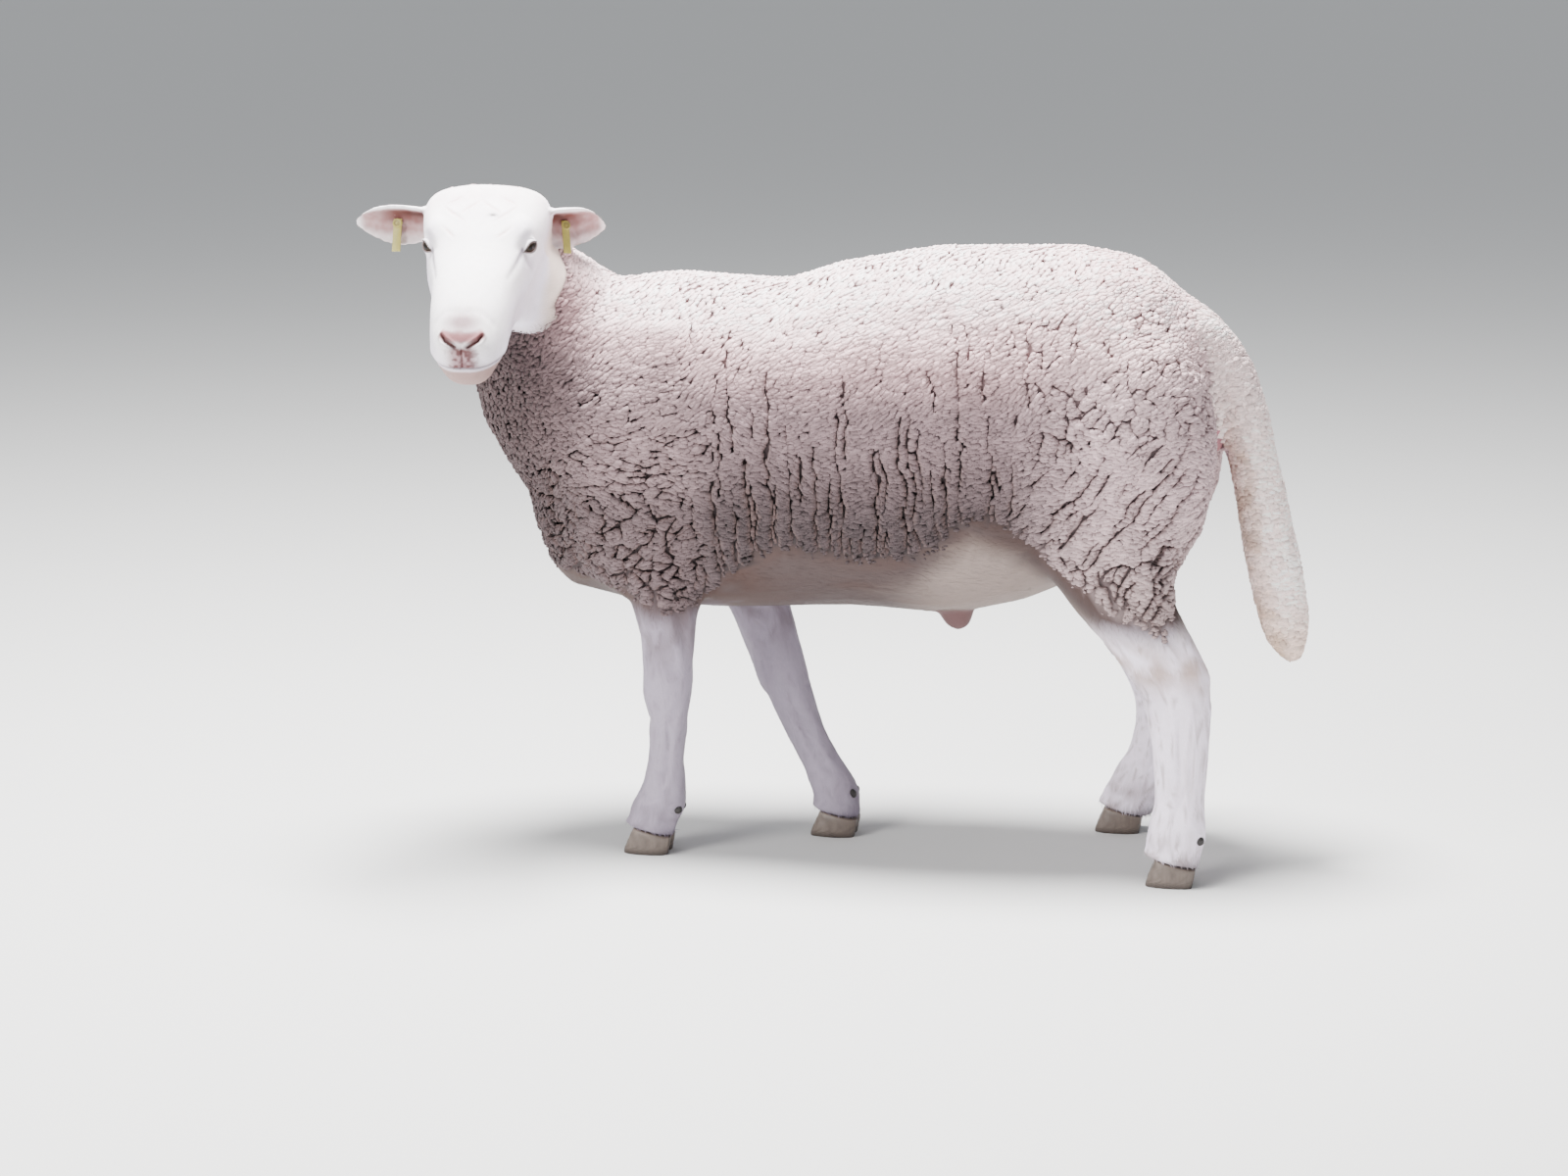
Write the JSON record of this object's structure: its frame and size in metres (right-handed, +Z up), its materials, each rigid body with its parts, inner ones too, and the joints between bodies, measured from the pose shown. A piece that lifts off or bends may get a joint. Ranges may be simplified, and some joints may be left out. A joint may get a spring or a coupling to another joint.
{
  "type": "sheep",
  "caption": "Life-size still model of a polled, woolly ram standing with its head turned to its left, with tagged ears.",
  "frame": {"origin": "bottom centre of the whole model's box, on the level of the soles", "axes": "+X from the head end to the tail end, +Y to the ram's right, +Z up; the head is turned to the ram's left and looks along -Y"},
  "size_m": [1.1984, 0.4812, 0.8458],
  "materials": {
    "fleece": "matte short curled wool",
    "face_hair": "matte short white hair",
    "leg_hair": "matte short white hair",
    "ear_skin": "matte, pink skin under thin white hair",
    "eye": "wet gloss, amber-brown with a dark slot pupil",
    "horn": "satin horn",
    "tag_plastic": "satin yellow-olive plastic",
    "bare_skin": "matte bare skin"
  },
  "bodies": {
    "root": {"ear_left": "ear_skin", "ear_right": "ear_skin", "ear_tag_left": "tag_plastic", "ear_tag_right": "tag_plastic", "eye_left": "eye", "eye_right": "eye", "fore_left_claw_left": "horn", "fore_left_claw_right": "horn", "fore_left_dewclaw_left": "horn", "fore_left_dewclaw_right": "horn", "fore_right_claw_left": "horn", "fore_right_claw_right": "horn", "fore_right_dewclaw_left": "horn", "fore_right_dewclaw_right": "horn", "hind_left_claw_left": "horn", "hind_left_claw_right": "horn", "hind_left_dewclaw_left": "horn", "hind_left_dewclaw_right": "horn", "hind_right_claw_left": "horn", "hind_right_claw_right": "horn", "hind_right_dewclaw_left": "horn", "hind_right_dewclaw_right": "horn", "foreleg_left": "leg_hair", "foreleg_right": "leg_hair", "hindleg_left": "leg_hair", "hindleg_right": "leg_hair", "head": "face_hair", "lower_jaw": "face_hair", "neck": "fleece", "trunk": "fleece", "tail": "fleece", "sheath": "bare_skin", "scrotum": "bare_skin"}
  },
  "joints": []
}
